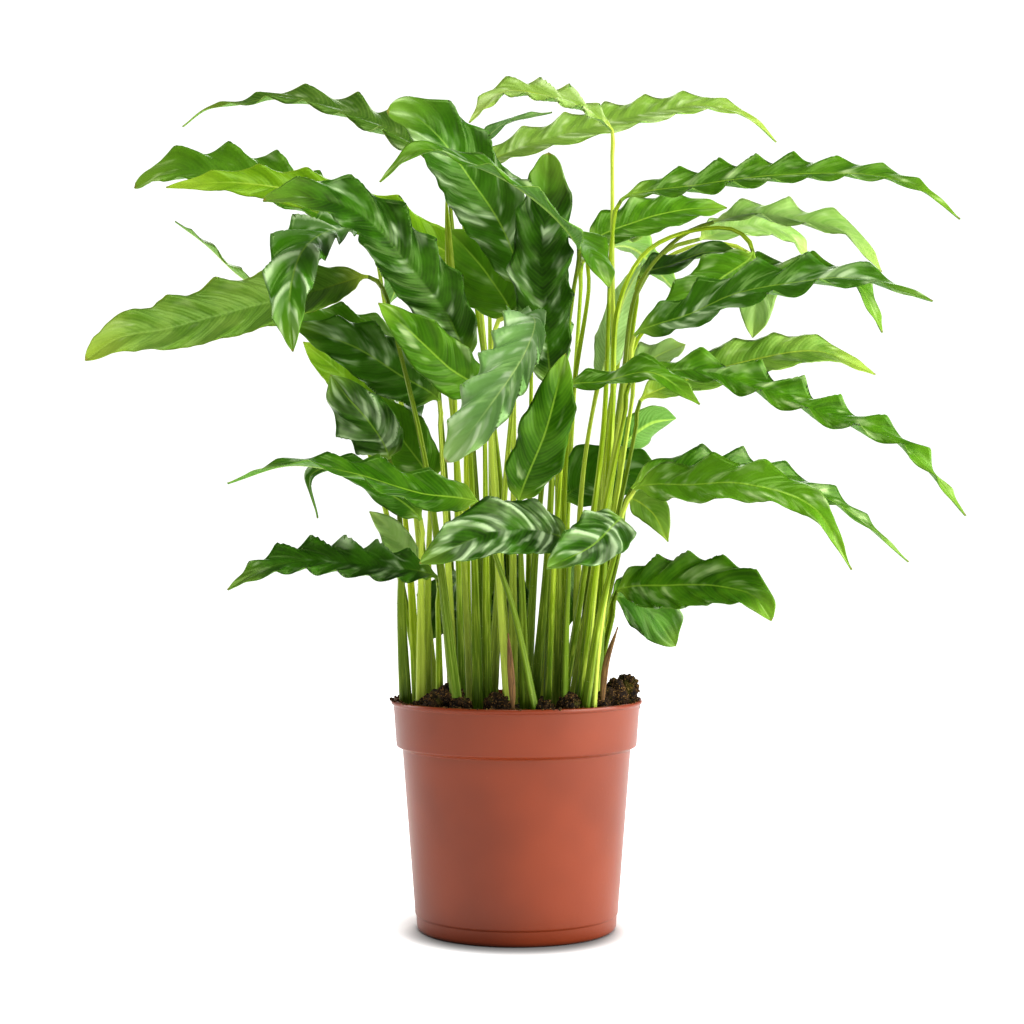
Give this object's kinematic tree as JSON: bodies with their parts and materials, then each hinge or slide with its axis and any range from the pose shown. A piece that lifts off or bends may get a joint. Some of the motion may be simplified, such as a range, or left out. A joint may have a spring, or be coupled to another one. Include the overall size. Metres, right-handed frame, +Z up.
{
  "type": "potted calathea plant",
  "caption": "Bushy potted calathea with long narrow wavy-edged leaves on thin stalks, standing in a round terracotta-coloured plastic nursery pot filled with peat.",
  "frame": {"origin": "Centre of the pot's base, on the surface that the pot stands on", "axes": "+Z is up, the pictured side of the plant faces -Y, and +X is to the right in the picture"},
  "size_m": [0.4029, 0.2723, 0.4277],
  "materials": {
    "pot_plastic": "moulded terracotta-brown polypropylene, satin",
    "peat": null,
    "leaf_deep": null,
    "leaf_green": null,
    "leaf_fresh": null,
    "leaf_pale": null,
    "leaf_lime": null,
    "shoot": null,
    "dry_sheath": null
  },
  "bodies": {
    "root": {"pot": "pot_plastic", "soil": "peat", "leaf_left_high_far": "leaf_fresh", "leaf_left_upper": "leaf_green", "leaf_left_lime": "leaf_lime", "leaf_left_broad": "leaf_deep", "leaf_left_silver": "leaf_deep", "leaf_left_long": "leaf_fresh", "leaf_left_edge_on": "leaf_fresh", "leaf_left_mid_upper": "leaf_green", "leaf_left_mid_dark": "leaf_deep", "leaf_left_inner": "leaf_green", "leaf_left_hanging_dark": "leaf_deep", "leaf_left_low_bright": "leaf_green", "leaf_left_low_curl": "leaf_deep", "leaf_left_low_wavy": "leaf_deep", "leaf_left_lime_low": "leaf_lime", "leaf_left_mid_green": "leaf_green", "leaf_centre_broad": "leaf_deep", "leaf_centre_over": "leaf_green", "leaf_centre_triangle": "leaf_green", "leaf_centre_upright": "leaf_deep", "leaf_centre_silver": "leaf_deep", "leaf_centre_low_green": "leaf_green", "leaf_centre_back": "leaf_green", "leaf_centre_front": "leaf_deep", "leaf_centre_front_right": "leaf_deep", "leaf_top_arch": "leaf_fresh", "leaf_top_long": "leaf_fresh", "leaf_top_thin": "leaf_deep", "leaf_right_high": "leaf_green", "leaf_right_upper": "leaf_green", "leaf_right_pale_arch": "leaf_fresh", "leaf_right_pale_back": "leaf_pale", "leaf_right_dark_small": "leaf_deep", "leaf_right_drooping": "leaf_green", "leaf_right_twisted": "leaf_deep", "leaf_right_hooked": "leaf_green", "leaf_right_pale_tip": "leaf_pale", "leaf_right_mid_light": "leaf_fresh", "leaf_right_long_wavy": "leaf_green", "leaf_right_strip": "leaf_green", "leaf_right_shadow": "leaf_deep", "leaf_right_low_bright": "leaf_green", "leaf_right_low_wavy": "leaf_green", "leaf_right_low_small": "leaf_fresh", "leaf_right_bottom": "leaf_green", "leaf_right_bottom_dark": "leaf_deep", "leaf_back_high_left": "leaf_green", "leaf_back_high": "leaf_deep", "leaf_back_middle": "leaf_green", "leaf_back_high_right": "leaf_fresh", "leaf_right_pale_low": "leaf_pale", "leaf_back_left": "leaf_deep", "leaf_left_small_silver": "leaf_pale", "leaf_right_pale_inner": "leaf_pale", "leaf_right_lime_small": "leaf_lime", "shoot_left": "shoot", "sheath_right": "dry_sheath", "sheath_middle": "dry_sheath"}
  },
  "joints": []
}
